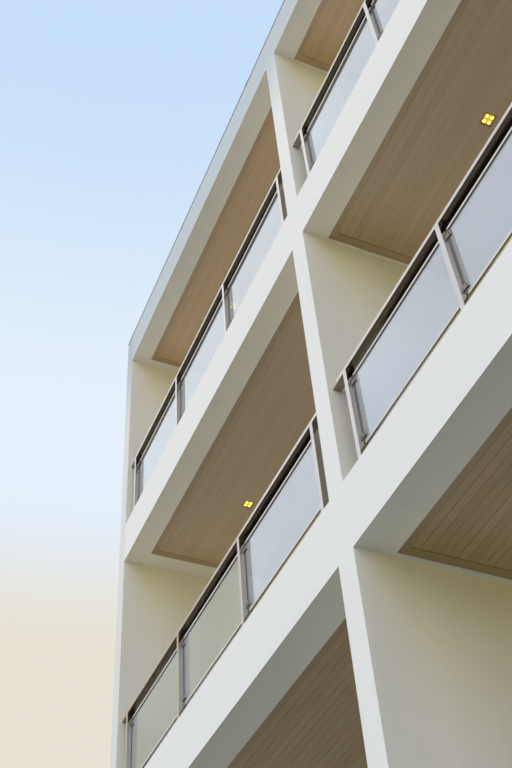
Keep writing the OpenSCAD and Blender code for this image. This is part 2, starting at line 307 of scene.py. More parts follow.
floor_finish, paving = new_material("pale_floor")
before = math_node(paving, "SUBTRACT", cad_low.y, axes(paving)[1])
bounce = blend(paving, remap(paving, before, NEAR_END, FAR_START, way="SMOOTHSTEP"), NEAR_BOUNCE, FAR_BOUNCE)
tone = blend(paving, seen_directly(paving), bounce, FLOOR_SEEN)
glossy = add(paving, "ShaderNodeLightPath").outputs["Is Glossy Ray"]
matt = add(paving, "ShaderNodeBsdfDiffuse", {"Color": blend(paving, glossy, tone, MIRRORED)})
add(paving, "ShaderNodeOutputMaterial", {"Surface": matt.outputs[0]})
floor_mesh = bpy.data.meshes.new("floor")
floor_corners = corners(-FLOOR_HALF, FLOOR_HALF, -FLOOR_HALF, FLOOR_HALF)
floor_mesh.from_pydata([(x, y, cad_low.z - FLOOR_DROP) for x, y in floor_corners], [], [(0, 1, 2, 3)])
floor_mesh.materials.append(floor_finish)
floor = in_scene("floor", floor_mesh)
floor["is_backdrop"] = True
print("floor", 2 * FLOOR_HALF, "m across")

# %% [markdown]
# ## Finishes
# Each finish ends in a Principled shader. It starts from the place on the object in metres, and from noises
# that break up the tone. Every piece sits at the origin with its place in its mesh, so with Object
# coordinates a pattern runs on from piece to piece without a seam.

# %% Helpers for finishes
NOISE_RANGE = (0.3, 0.7)


def principled(material, **sockets):
    """Ends a material with a Principled shader; an underscore stands for a space in a socket's name."""
    sockets = {name.replace("_", " "): value for name, value in sockets.items()}
    shader = add(material.node_tree, "ShaderNodeBsdfPrincipled", sockets)
    add(material.node_tree, "ShaderNodeOutputMaterial", {"Surface": shader.outputs[0]})
    return material


def noise(tree, scale, stretch=(1, 1, 1), detail=3.0, roughness=0.5):
    """A noise from 0 to 1 with features about 1/scale metres across, stretched along the axes."""
    spot = add(tree, "ShaderNodeMapping", {"Vector": coordinates(tree), "Scale": stretch}).outputs[0]
    sockets = {"Vector": spot, "Scale": scale, "Detail": detail, "Roughness": roughness}
    return add(tree, "ShaderNodeTexNoise", sockets).outputs["Fac"]


def patches(tree, scale, most, least=0.0, inside=NOISE_RANGE, **kind):
    """A value that goes in patches from the least to the most, as a noise goes through a range."""
    return remap(tree, noise(tree, scale, **kind), *inside, least, most)


def bump(tree, height, strength, distance, **below):
    """A bump of the stated depth in metres, which may lie on another bump, given as its Normal."""
    sockets = {"Height": height, "Strength": strength, "Distance": distance, **below}
    return add(tree, "ShaderNodeBump", sockets).outputs[0]


def scaled(colour, share):
    """A darker form of a colour."""
    return (*(share * part for part in colour[:3]), 1)


print("finish helpers ready")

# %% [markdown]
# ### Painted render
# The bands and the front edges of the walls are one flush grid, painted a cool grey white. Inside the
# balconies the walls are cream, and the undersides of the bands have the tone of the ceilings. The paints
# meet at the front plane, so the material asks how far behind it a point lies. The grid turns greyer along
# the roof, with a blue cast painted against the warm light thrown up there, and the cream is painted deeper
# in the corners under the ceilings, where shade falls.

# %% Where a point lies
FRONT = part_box("first_band")[0].y
INNER_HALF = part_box("first_band")[1].x
INNER_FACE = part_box("first_inner_wall")[0].y
LOW_CEILING, HIGH_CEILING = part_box("second_band")[0].z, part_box("roof_band")[0].z
STOREY = LOW_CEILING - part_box("first_band")[0].z
BAY_STEP = solids("first_handrails")[1][0].x - solids("first_handrails")[0][0].x
PLANE_SLACK = 0.002
END_SLACK = 0.004
CORNER_REACH = (0.15, 0.5)
CORNER_FADE = (0.1, 1.4)


def behind_front(tree):
    """How far a point lies behind the front plane, in metres."""
    return math_node(tree, "SUBTRACT", axes(tree)[1], FRONT)


def inside_balcony(tree):
    """1 behind the front plane and between the end walls, as far back as the glazed wall."""
    spot = axes(tree)
    behind = math_node(tree, "GREATER_THAN", spot[1], FRONT + PLANE_SLACK)
    before = math_node(tree, "LESS_THAN", spot[1], INNER_FACE + PLANE_SLACK)
    across = math_node(tree, "LESS_THAN", math_node(tree, "ABSOLUTE", spot[0]), INNER_HALF + END_SLACK)
    return times(tree, times(tree, behind, before), across)


def corner_shade_share(tree):
    """Share of painted shade: 1 in the corner under a ceiling, falling to 0 at the front and lower down."""
    below = math_node(tree, "FLOORED_MODULO", math_node(tree, "SUBTRACT", LOW_CEILING, axes(tree)[2]), STOREY)
    reach = math_node(tree, "ADD", times(tree, below, CORNER_REACH[1]), CORNER_REACH[0])
    deep = math_node(tree, "DIVIDE", behind_front(tree), reach, clamp=True)
    return times(tree, deep, remap(tree, below, *CORNER_FADE, 1.0, 0.0))


def storey_light_tone(tree, low, middle, top):
    """A tone for each height of ceiling, painted for the light each storey gets: the lowest that shows, the
    next and the highest.
    """
    rise = remap(tree, axes(tree)[2], LOW_CEILING, HIGH_CEILING)
    lower = blend(tree, remap(tree, rise, 0.0, 0.5), low, middle)
    return blend(tree, remap(tree, rise, 0.5, 1.0), lower, top)


print("storeys of", round(STOREY, 3), "m, front plane at y =", round(FRONT, 3))

# %% [markdown]
# A smooth masonry paint shows a faint cloudiness, thin runs where rain leaves the edges, and a sand grain of
# about a millimetre.

# %% Painted render
GREY_WHITE = (0.68, 0.69, 0.70, 1)
# Greyer towards the roof; its blue cast is painted to offset the warm bounce light up there.
ROOF_GREY = (0.43, 0.485, 0.54, 1)
ROOF_REACH = (-1.2, 0.1)
END_SHARE = 0.9
CREAM = (0.78, 0.765, 0.715, 1)
# Painted shade in the corners under the ceilings, and painted light that lifts the cream away from the front.
CREAM_CORNER_SHADE = (0.74, 0.69, 0.44, 1)
CREAM_LIGHT_BY_DEPTH = (0.05, 0.4, 0.97, 1.13)
# Ceiling tones for each storey are painted light, and the ceilings get painted shade towards the front edge.
CEILING_LOW = (0.80, 0.81, 0.77, 1)
CEILING_MIDDLE = (0.93, 0.88, 0.755, 1)
CEILING_TOP = (0.905, 0.87, 0.79, 1)
CEILING_SHADE_BY_DEPTH = (0.0, 0.27, 0.87, 1.0)
DUST = (0.50, 0.49, 0.46, 1)
RAIN_RUN = (0.38, 0.37, 0.34, 1)


def facing(tree):
    """The direction that a face looks in, as three numbers."""
    return axes(tree, add(tree, "ShaderNodeNewGeometry").outputs["True Normal"])


def grid_tone(tree):
    """Grey white; front faces turn greyer to the roof, with a blue cast painted against warm bounce light,
    and darker on end walls.
    """
    front = math_node(tree, "LESS_THAN", facing(tree)[1], -0.5)
    height = remap(tree, axes(tree)[2], *(HIGH_CEILING + reach for reach in ROOF_REACH))
    tone = blend(tree, times(tree, height, front), GREY_WHITE, ROOF_GREY)
    end = math_node(tree, "GREATER_THAN", math_node(tree, "ABSOLUTE", axes(tree)[0]), INNER_HALF)
    return shaded(tree, tone, remap(tree, times(tree, end, front), 0.0, 1.0, 1.0, END_SHARE))


def cream_tone(tree):
    """Cream with painted shade in the corners under the ceilings, and painted light away from the front."""
    tone = blend(tree, corner_shade_share(tree), CREAM, CREAM_CORNER_SHADE)
    return shaded(tree, tone, remap(tree, behind_front(tree), *CREAM_LIGHT_BY_DEPTH))


def ceiling_tone(tree):
    """Ceiling white with painted light, cool on the lowest ceiling and warm above it, and painted shade near
    the drip edge.
    """
    tone = storey_light_tone(tree, CEILING_LOW, CEILING_MIDDLE, CEILING_TOP)
    return shaded(tree, tone, remap(tree, behind_front(tree), *CEILING_SHADE_BY_DEPTH))


def painted_render(name, inner):
    """Masonry paint on a fine render, grey white outside and another tone inside the balconies."""
    material, tree = new_material(name)
    paint = blend(tree, inside_balcony(tree), grid_tone(tree), inner(tree))
    paint = blend(tree, patches(tree, 0.9, 0.07, detail=4), paint, DUST)
    runs = patches(tree, 5.0, 0.10, inside=(0.56, 0.78), stretch=(1, 1, 0.06))
    paint = blend(tree, runs, paint, RAIN_RUN)
    rough = patches(tree, 4.0, 0.92, least=0.78)
    coarse = bump(tree, noise(tree, 60.0, detail=2), 0.25, 0.004)
    sand = bump(tree, noise(tree, 700.0, detail=2), 0.35, 0.001, Normal=coarse)
    return principled(material, Base_Color=paint, Roughness=rough, Normal=sand)


wall_paint = painted_render("wall_paint", cream_tone)
band_paint = painted_render("band_paint", ceiling_tone)
print("paints:", wall_paint.name, band_paint.name)

# %% [markdown]
# ### Plaster ceilings
# The strip between a band and the boards is flush with the band's underside and shares its tone. The few
# faint smudges and pock marks that the picture shows there come from a sparse noise.

# %% Plaster
SMUDGE = (0.60, 0.59, 0.54, 1)
POCK_MARK = (0.50, 0.46, 0.42, 1)


def plaster_finish():
    """Smooth painted plaster with faint smudges and pock marks."""
    material, tree = new_material("ceiling_plaster")
    paint = blend(tree, patches(tree, 1.6, 0.12, detail=5), ceiling_tone(tree), SMUDGE)
    marks = patches(tree, 14.0, 0.35, inside=(0.72, 0.80), detail=1)
    paint = blend(tree, marks, paint, POCK_MARK)
    relief = bump(tree, noise(tree, 250.0), 0.25, 0.0015)
    return principled(material, Base_Color=paint, Roughness=0.9, Normal=relief)


plaster = plaster_finish()
print("plaster ready")

# %% [markdown]
# ### Timber
# The boards are light brown wood with a satin lacquer, painted paler under the upper floors for the light
# those ceilings get. Their grain runs along the block, so the noise is stretched along X. Each board is a
# closed shape of its own, so Random Per Island gives it a tone of its own, slightly, because the real
# ceilings look nearly even. They carry painted shade near the left wall of each bay and painted light towards
# the rear, and the strips round them are a shade darker.

# %% Timber
# Board tones for each storey: the paler upper ones are painted light.
BOARD_LOW = (0.470, 0.360, 0.240, 1)
BOARD_MIDDLE = (0.59, 0.445, 0.305, 1)
BOARD_TOP = (0.70, 0.505, 0.33, 1)
# Painted shade near the left wall of each bay, and painted light towards the rear.
BOARD_WALL_SHADE = (0.86, 0.83, 0.68, 1)
BOARD_SHADE_BY_WALL = (0.15, 0.5, 1.0, 0.0)
BOARD_LIGHT_BY_DEPTH = (0.25, 0.9, 0.97, 1.15)


def timber_finish(name, share):
    """Lacquered boards with grain along X and a tone for each board; the share scales the colour."""
    material, tree = new_material(name)
    own = add(tree, "ShaderNodeNewGeometry").outputs["Random Per Island"]
    fibre = noise(tree, 28.0, (0.05, 1, 1), detail=6, roughness=0.6)
    grain = math_node(tree, "ADD", times(tree, fibre, 0.6), times(tree, own, 0.4))
    wood = storey_light_tone(tree, BOARD_LOW, BOARD_MIDDLE, BOARD_TOP)
    along = math_node(tree, "FLOORED_MODULO", math_node(tree, "ADD", axes(tree)[0], INNER_HALF), BAY_STEP)
    wood = blend(tree, remap(tree, along, *BOARD_SHADE_BY_WALL), wood, shaded(tree, wood, BOARD_WALL_SHADE))
    wood = shaded(tree, wood, remap(tree, behind_front(tree), *BOARD_LIGHT_BY_DEPTH))
    wood = shaded(tree, wood, remap(tree, grain, 0.25, 0.75, share, 0.88 * share))
    rough = remap(tree, grain, *NOISE_RANGE, 0.42, 0.58)
    return principled(material, Base_Color=wood, Roughness=rough, Normal=bump(tree, grain, 0.2, 0.0008))


timber = timber_finish("board_timber", 1.0)
border_timber = timber_finish("border_timber", 0.86)
print("timber ready")

# %% [markdown]
# ### Metals
# The railing is finely brushed steel that mirrors the pale world. The sides of the posts look much darker
# than their fronts, so the faces that look along the block can get a painted shade, a duller tone. Frames
# are dark bronze anodised aluminium, and the coping is dark painted sheet.

# %% Metal finishes
ALONG, UPRIGHT = (0.02, 1, 1), (1, 1, 0.02)
# How far a face turns along the block, and how deep it lies, for the painted flank shade.
FLANK_TURN = (0.4, 0.8)
FLANK_DEPTH = (0.055, 0.065)


def brushed(name, colour, rough, stretch=ALONG, metallic=1.0, flank_shade=None):
    """Metal brushed along the axis with a small stretch; its flanks can get a painted shade of their own."""
    material, tree = new_material(name)
    lines = noise(tree, 260.0, stretch, detail=2)
    shade = blend(tree, patches(tree, 3.0, 0.18), colour, scaled(colour, 0.72))
    if flank_shade:
        sideways = remap(tree, math_node(tree, "ABSOLUTE", facing(tree)[0]), *FLANK_TURN)
        deep = remap(tree, behind_front(tree), *FLANK_DEPTH)
        shade = blend(tree, math_node(tree, "MAXIMUM", sideways, deep), shade, flank_shade)
    rough = remap(tree, lines, *NOISE_RANGE, *rough)
    relief = bump(tree, lines, 0.08, 0.0004)
    return principled(material, Base_Color=shade, Metallic=metallic, Roughness=rough, Normal=relief)


rail_steel = brushed("rail_steel", (0.96, 0.83, 0.70, 1), (0.12, 0.20))
# The flanks of the posts carry a painted shade.
post_steel = brushed("post_steel", (0.92, 0.82, 0.75, 1), (0.14, 0.24), UPRIGHT, flank_shade=(0.54, 0.50, 0.45, 1))
trim_steel = brushed("trim_steel", (0.93, 0.92, 0.91, 1), (0.08, 0.14))
cap_white = brushed("cap_white", (0.80, 0.78, 0.78, 1), (0.35, 0.45), metallic=0.1)
# The foot strip white is the cap white painted darker, as shade.
strip_white = brushed("strip_white", (0.60, 0.59, 0.57, 1), (0.35, 0.45), metallic=0.1)
# Darkened steel for the handrail liners and cap tops: a painted shade that still mirrors.
dark_mirror = brushed("dark_mirror", (0.40, 0.35, 0.285, 1), (0.16, 0.22))
# The dark flange stands for the shadow in the gap under the glass foot.
flange_bronze = brushed("flange_bronze", (0.19, 0.17, 0.14, 1), (0.35, 0.50), metallic=0.5)
seal_grey = brushed("seal_grey", (0.33, 0.305, 0.27, 1), (0.40, 0.50), UPRIGHT)
lamp_bronze = brushed("lamp_bronze", (0.36, 0.25, 0.13, 1), (0.30, 0.45), (1, 1, 1), metallic=0.5)
frame_bronze = brushed("frame_bronze", (0.085, 0.075, 0.065, 1), (0.32, 0.45), (1, 1, 0.05), metallic=0.7)
coping_sheet = brushed("coping_sheet", (0.10, 0.11, 0.12, 1), (0.35, 0.5), (0.05, 0.05, 1), metallic=0.3)
print("metals ready")

# %% [markdown]
# ### Glass
# The balustrade glass mirrors the sky so strongly that it looks milky, and still lets the lamp behind it
# glow through. Such glass has a thin metal film, so its shader is part metal and part clear glass. The room
# panes are plain, slightly grey double glazing.

# %% Glass finishes
def glass_finish(name, colour, film, passing, rough):
    """Glass with a share of metal film, and with a faint unevenness of its tone."""
    material, tree = new_material(name)
    tint = blend(tree, patches(tree, 0.7, 1.0, stretch=(1, 1, 1.4)), colour, scaled(colour, 0.93))
    return principled(material, Base_Color=tint, Metallic=film, Roughness=rough, IOR=1.52,
                      Transmission_Weight=passing)


rail_glass = glass_finish("rail_glass_film", (0.93, 0.96, 0.99, 1), film=0.44, passing=0.88, rough=0.03)
pane_glass = glass_finish("pane_glass_grey", (0.42, 0.47, 0.48, 1), film=0.0, passing=0.85, rough=0.02)
print("glass ready")

# %% [markdown]
# ### Concrete, tiles and rubber
# The floors and the roof are fair-faced concrete. Balcony tiles are dark brown stoneware: the mirror image
# in the handrails shows a nearly black floor. Thin rubber lines seat the glass.

# %% Mineral and rubber finishes
CONCRETE = ((0.50, 0.50, 0.48, 1), (0.38, 0.38, 0.36, 1))
PORE = (0.20, 0.20, 0.19, 1)
STONEWARE = ((0.020, 0.016, 0.013, 1), (0.035, 0.028, 0.023, 1))
SPECK = (0.07, 0.06, 0.05, 1)
RUBBER = ((0.015, 0.014, 0.014, 1), (0.06, 0.055, 0.05, 1))


def concrete_finish():
    """Grey concrete with clouds and small pores."""
    material, tree = new_material("fair_concrete")
    grey = blend(tree, patches(tree, 1.2, 1.0, detail=6, roughness=0.6), *CONCRETE)
    grey = blend(tree, patches(tree, 90.0, 0.5, inside=(0.70, 0.78), detail=1), grey, PORE)
    relief = bump(tree, noise(tree, 120.0, detail=4), 0.3, 0.002)
    return principled(material, Base_Color=grey, Roughness=0.88, Normal=relief)


def tile_finish():
    """Dark stoneware with a soft shine and a speckle."""
    material, tree = new_material("dark_stoneware")
    dark = blend(tree, patches(tree, 2.5, 1.0, detail=4), *STONEWARE)
    dark = blend(tree, patches(tree, 220.0, 0.4, inside=(0.62, 0.72), detail=1), dark, SPECK)
    rough = patches(tree, 30.0, 0.7, least=0.5)
    return principled(material, Base_Color=dark, Roughness=rough, Specular_IOR_Level=0.2)


def rubber_finish():
    """Black glazing rubber, a little dusty."""
    material, tree = new_material("glazing_rubber")
    black = blend(tree, patches(tree, 40.0, 0.5, inside=(0.4, 0.8)), *RUBBER)
    return principled(material, Base_Color=black, Roughness=0.7)


concrete = concrete_finish()
stoneware = tile_finish()
rubber = rubber_finish()
print("concrete, stoneware and rubber ready")

# %% [markdown]
# ## Finishes on the built pieces
# A piece whose shape is right keeps it and only gets its finish. The table names the finish of each group
# of nodes.

# %% Put the finishes on
STOREYS = ("ground", "first", "second", "third")
UPPER = STOREYS[1:]


def on_storeys(kind, storeys=UPPER):
    """The nodes of one kind on several storeys."""
    return [storey + kind for storey in storeys]


def boxes_of(kind, storeys=UPPER):
    """The boxes of all pieces in such nodes."""
    return [box for node in on_storeys(kind, storeys) for box in solids(node)]


outer_walls = ["left_end_wall", "right_end_wall"] + on_storeys("_rear_wall", STOREYS)
finish_of = {
    wall_paint: outer_walls + on_storeys("_cross_walls", STOREYS) + on_storeys("_inner_wall", STOREYS),
    band_paint: ["first_band", "second_band", "third_band", "roof_band"],
    plaster: ["balcony_ceilings"],
    concrete: ["ground_slab", "first_floor", "second_floor", "third_floor", "roof_slab"],
    frame_bronze: ["door_frames", "window_frames", "entrance_door"],
    lamp_bronze: ["downlights"],
    pane_glass: ["door_glass", "window_glass"],
    post_steel: on_storeys("_posts"),
    rail_steel: on_storeys("_handrails"),
    rail_glass: on_storeys("_rail_glass"),
}
for material, nodes in finish_of.items():
    for node in nodes:
        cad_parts[node].material_slots[0].material = material
print("finished", sum(len(nodes) for nodes in finish_of.values()), "of", len(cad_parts), "nodes")

# %% [markdown]
# ## Making pieces
# Small bars are boxes whose edges are cut back a little, because no real edge is perfectly sharp and a cut
# edge catches the light. Other shapes are outlines joined one after another. Each helper adds to a bmesh,
# so that many like bars end up in one piece.

# %% Helpers for bars
def add_box(work, low, high, cut=0.0):
    """Adds a box from one corner to the other, with its edges cut back."""
    low, high = Vector(low), Vector(high)
    made = bmesh.ops.create_cube(work, size=1.0)["verts"]
    for vertex in made:
        vertex.co = Vector(low[i] + (vertex.co[i] + 0.5) * (high[i] - low[i]) for i in range(3))
    if cut:
        edges = list({edge for vertex in made for edge in vertex.link_edges})
        bmesh.ops.bevel(work, geom=edges, offset=cut, segments=1, affect="EDGES")


def add_skin(work, outlines, closed=False):
    """Joins outlines of equally many places by faces, and the last with the first if it is closed."""
    rings = [[work.verts.new(spot) for spot in outline] for outline in outlines]
    for near, far in zip(rings, rings[1:] + (rings[:1] if closed else [])):
        for i in range(len(near)):
            j = (i + 1) % len(near)
            work.faces.new((near[i], near[j], far[j], far[i]))
    return rings


def add_prism(work, outlines):
    """Adds a closed shape that goes from outline to outline."""
    rings = add_skin(work, outlines)
    work.faces.new(rings[0][::-1])
    work.faces.new(rings[-1])


def add_bar(work, outline, start, end):
    """Adds a bar along X whose outline is a list of places across it, as y and z."""
    add_prism(work, [[(x, y, z) for y, z in outline] for x in (start, end)])


def finished_piece(name, work, material, replaces=()):
    """Turns a bmesh into a piece that rides on the block and takes the finish."""
    bmesh.ops.recalc_face_normals(work, faces=work.faces)
    for face in work.faces:
        face.material_index = 0
    mesh = bpy.data.meshes.new(name)
    work.to_mesh(mesh)
    work.free()
    mesh.materials.append(material)
    piece = in_scene(name, mesh)
    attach(piece, "root")
    if replaces:
        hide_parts(*replaces)
    print(name, "has", len(mesh.polygons), "faces")


print("bar helpers ready")

# %% [markdown]
# ## One tree for what repeats in a row
# Boards, strips of felt and straps are one part copied along a straight line. The tree takes the part as its
# geometry, and has named inputs for the count, the start and the step. Realize Instances turns the copies
# into a real mesh, and Set Material gives it the finish.

# %% Row tree
def new_tree(name, **inputs):
    """An empty Geometry Nodes tree with a part, the named inputs and a finish."""
    tree = bpy.data.node_groups.new(name, "GeometryNodeTree")
    for socket, kind in {"Part": "Geometry", **inputs, "Finish": "Material"}.items():
        tree.interface.new_socket(socket.replace("_", " "), in_out="INPUT", socket_type="NodeSocket" + kind)
    tree.interface.new_socket("Result", in_out="OUTPUT", socket_type="NodeSocketGeometry")
    return tree, add(tree, "NodeGroupInput").outputs


def copies_on(tree, given, points):
    """Copies of the part on points."""
    return add(tree, "GeometryNodeInstanceOnPoints", {"Points": points, "Instance": given["Part"]}).outputs[0]


def copies_in_row(tree, given):
    """Copies of the part along a line."""
    sockets = {"Count": given["Count"], "Start Location": given["Start"], "Offset": given["Step"]}
    return copies_on(tree, given, add(tree, "GeometryNodeMeshLine", sockets).outputs[0])


def close_tree(tree, given, instances):
    """Ends a tree with real geometry and its finish."""
    real = add(tree, "GeometryNodeRealizeInstances", {0: instances}).outputs[0]
    painted = add(tree, "GeometryNodeSetMaterial", {"Geometry": real, "Material": given["Finish"]}).outputs[0]
    add(tree, "NodeGroupOutput", {0: painted})
    return tree


def row_tree():
    """Copies the part along a line."""
    tree, given = new_tree("row_of_parts", Count="Int", Start="Vector", Step="Vector")
    return close_tree(tree, given, copies_in_row(tree, given))


def grown(tree, part, **values):
    """Runs a tree on a part, given as a bmesh that is used up, and returns the result as a new bmesh."""
    mesh = bpy.data.meshes.new("part")
    part.to_mesh(mesh)
    part.free()
    holder = in_scene("holder", mesh)
    modifier = holder.modifiers.new("grow", "NODES")
    modifier.node_group = tree
    for socket in tree.interface.items_tree:
        key = socket.name.replace(" ", "_")
        if key in values:
            modifier[socket.identifier] = values[key]
    evaluated = holder.evaluated_get(bpy.context.evaluated_depsgraph_get())
    result = bpy.data.meshes.new_from_object(evaluated)
    holder.modifiers.clear()
    bpy.data.objects.remove(holder)
    work = bmesh.new()
    work.from_mesh(result)
    bpy.data.meshes.remove(result)
    return work


def gather(target, source):
    """Adds one bmesh to another, and uses it up."""
    mesh = bpy.data.meshes.new("gathered")
    source.to_mesh(mesh)
    source.free()
    target.from_mesh(mesh)
    bpy.data.meshes.remove(mesh)


row_of_parts = row_tree()
print("tree inputs:", [item.name for item in row_of_parts.interface.items_tree])

# %% [markdown]
# ## Ceiling boards
# Each balcony ceiling is lined with boards 63 mm wide. The picture shows a darker joint at every fourth
# groove, so four boards make one sheet with fine grooves and a wider joint at its side. The first board,
# next to the front border, stands alone, because the joints start one board later.

# %% Sheet of boards
BOARD_PITCH = 0.063
BOARDS_IN_SHEET = 4
WIDE_GAPS = (0.0020, 0.0032)
FINE_GAPS = (0.0010, 0.0013)
FIELD_LIFT = 0.002
BOARD_CUT = 0.0012
SHEET = BOARDS_IN_SHEET * BOARD_PITCH


def board_sheet(length, thickness, gaps, boards=BOARDS_IN_SHEET):
    """One sheet of boards along X, its low corner at the origin; the gaps are its groove and its joint."""
    groove, joint = gaps
    work = bmesh.new()
    for i in range(boards):
        low = i * BOARD_PITCH + (joint if i == 0 else groove) / 2
        high = (i + 1) * BOARD_PITCH - (joint if i == boards - 1 else groove) / 2
        add_box(work, (0, low, 0), (length, high, thickness), BOARD_CUT)
    return work


print("sheet", SHEET, "m wide")

# %% [markdown]
# The downlights pierce the field. A Boolean in Geometry Nodes cuts a square through the boards at each
# lamp, so the same tree can serve every balcony with its own lamp places.

# %% Board field tree
def field_tree():
    """Repeats a sheet across the balcony and cuts the two lamp squares out of it."""
    places = {"First_Lamp": "Vector", "Second_Lamp": "Vector", "Lamp_Hole": "Vector"}
    tree, given = new_tree("board_field", Count="Int", Start="Vector", Step="Vector", **places)
    sheets = add(tree, "GeometryNodeRealizeInstances", {0: copies_in_row(tree, given)}).outputs[0]
    cut = add(tree, "GeometryNodeMeshBoolean", {"Mesh 1": sheets}, operation="DIFFERENCE", solver="EXACT")
    hole = add(tree, "GeometryNodeMeshCube", {"Size": given["Lamp Hole"]}).outputs[0]
    for lamp in ("First Lamp", "Second Lamp"):
        placed = add(tree, "GeometryNodeTransform", {"Geometry": hole, "Translation": given[lamp]}).outputs[0]
        tree.links.new(placed, cut.inputs["Mesh 2"])
    return close_tree(tree, given, cut.outputs[0])


board_field = field_tree()
lamps = solids("downlights")
LAMP_SIDE = lamps[0][1].x - lamps[0][0].x
print(len(lamps), "downlights,", round(LAMP_SIDE, 3), "m square")

# %% Border round the boards
FRONT_BORDER = 0.050
SIDE_BORDER = 0.070
SHADOW_GAP = 0.003
EDGE_GAP = 0.002
LAMP_GAP = 0.001
HEAD_GAP = 0.002
HOLE_DEPTH = 0.2
SAME_LEVEL = 0.05


def add_border(work, low, high, rear):
    """Adds four flat strips with mitred corners round the edge of a panel; the rear one has its own width."""
    outer = corners(low.x + EDGE_GAP, high.x - EDGE_GAP, low.y + EDGE_GAP, high.y - EDGE_GAP)
    front = low.y + FRONT_BORDER - EDGE_GAP / 2
    inner = corners(low.x + SIDE_BORDER, high.x - SIDE_BORDER, front, high.y - rear)
    for i in range(4):
        j = (i + 1) % 4
        strip = (outer[i], outer[j], inner[j], inner[i])
        add_prism(work, [[(x, y, z) for x, y in strip] for z in (low.z, high.z)])


def lamps_above(low, high):
    """The two downlights in a panel."""
    return [(a, b) for a, b in lamps if low.x < a.x < high.x and abs(a.z - low.z) < SAME_LEVEL]


def lined_panel(low, high, gaps):
    """One board, whole sheets and the rest of one balcony ceiling, and the width of its rear border."""
    boards = int((high.y - low.y - 2 * FRONT_BORDER) / BOARD_PITCH)
    sheets, left_over = divmod(boards - 1, BOARDS_IN_SHEET)
    field = Vector((low.x + SIDE_BORDER + SHADOW_GAP, low.y + FRONT_BORDER, low.z + FIELD_LIFT))
    length = high.x - low.x - 2 * (SIDE_BORDER + SHADOW_GAP)
    thickness = high.z - field.z - HEAD_GAP
    lamp_a, lamp_b = [(a + b) / 2 for a, b in lamps_above(low, high)]
    start = field + Vector((0, BOARD_PITCH, 0))
    hole = (LAMP_SIDE + 2 * LAMP_GAP, LAMP_SIDE + 2 * LAMP_GAP, HOLE_DEPTH)
    sheet = board_sheet(length, thickness, gaps)
    work = grown(board_field, sheet, Count=sheets, Start=start, Step=(0, SHEET, 0), First_Lamp=lamp_a,
                 Second_Lamp=lamp_b, Lamp_Hole=hole, Finish=timber)
    for boards_here, y in ((1, field.y), (left_over, start.y + sheets * SHEET)):
        strip = board_sheet(length, thickness, gaps, boards_here)
        bmesh.ops.translate(strip, verts=strip.verts, vec=(field.x, y, field.z))
        gather(work, strip)
    return work, high.y - field.y - boards * BOARD_PITCH


borders = bmesh.new()
for storey in STOREYS:
    lining = bmesh.new()
    for low, high in solids(storey + "_boards"):
        panel, rear = lined_panel(low, high, FINE_GAPS if storey in STOREYS[2:] else WIDE_GAPS)
        gather(lining, panel)
        add_border(borders, low, high, rear)
    finished_piece(storey + "_ceiling_boards", lining, timber, [storey + "_boards"])
finished_piece("ceiling_borders", borders, border_timber)

# %% [markdown]
# Without something behind them the grooves would show the empty ceiling void. A dark board above the field
# closes them, as the real underlay does, and its black also paints the shade in the joints, so that they read
# as thin dark lines.

# %% Dark backing above the boards
UNDERLAY = (0.001, 0.004)


def backing_panel(work, low, high):
    """A thin dark board over the field, with gaps at the lamps."""
    z0, z1 = (high.z + rise for rise in UNDERLAY)
    near = lamps_above(low, high)
    edges = [low.x] + [corner.x for lamp in near for corner in lamp] + [high.x]
    for x0, x1 in zip(edges[::2], edges[1::2]):
        add_box(work, (x0, low.y, z0), (x1, high.y, z1))
    for lamp_low, lamp_high in near:
        for y0, y1 in ((low.y, lamp_low.y), (lamp_high.y, high.y)):
            add_box(work, (lamp_low.x, y0, z0), (lamp_high.x, y1, z1))


backing = bmesh.new()
for low, high in boxes_of("_boards", STOREYS):
    backing_panel(backing, low, high)
finished_piece("ceiling_underlay", backing, rubber)

# %% [markdown]
# ## Downlights
# Each lamp is a square recess with four bright lobes in its corners, low domes on a glowing plate, warm
# yellow against the brown boards. The emission is very bright where a lobe reaches lowest and falls off to
# amber on the plate. The cores show through the balustrade glass, as near the upper left of the picture.

# %% Lamp finish
LAMP_CORE = (1.0, 0.93, 0.13, 1)
LAMP_AMBER = (0.09, 0.0575, 0.006, 1)
LAMP_GLOW = 8.0
CORE_FALL = 4.0


def lamp_finish():
    """Warm light, very bright at the core of each lobe and amber on the plate."""
    material, tree = new_material("warm_lamp")
    lobes = add(tree, "ShaderNodeAttribute", attribute_name="lobe").outputs["Fac"]
    uneven = patches(tree, 30.0, 1.0, least=0.75, inside=(0.35, 0.65), detail=1)
    core = times(tree, math_node(tree, "POWER", lobes, CORE_FALL), uneven)
    glow = blend(tree, core, LAMP_AMBER, LAMP_CORE)
    return principled(material, Base_Color=glow, Emission_Color=glow,
                      Emission_Strength=LAMP_GLOW, Roughness=0.3)


warm_lamp = lamp_finish()
print("lamp glow", LAMP_GLOW)

# %% Lamp plates and lobes
RIM = 0.009
RECESS = 0.012
PLATE_T = 0.002
PLATE_CUT = 0.0005
LOBE = 0.021
LOBE_R = 0.0155
LOBE_FLATNESS = 0.5


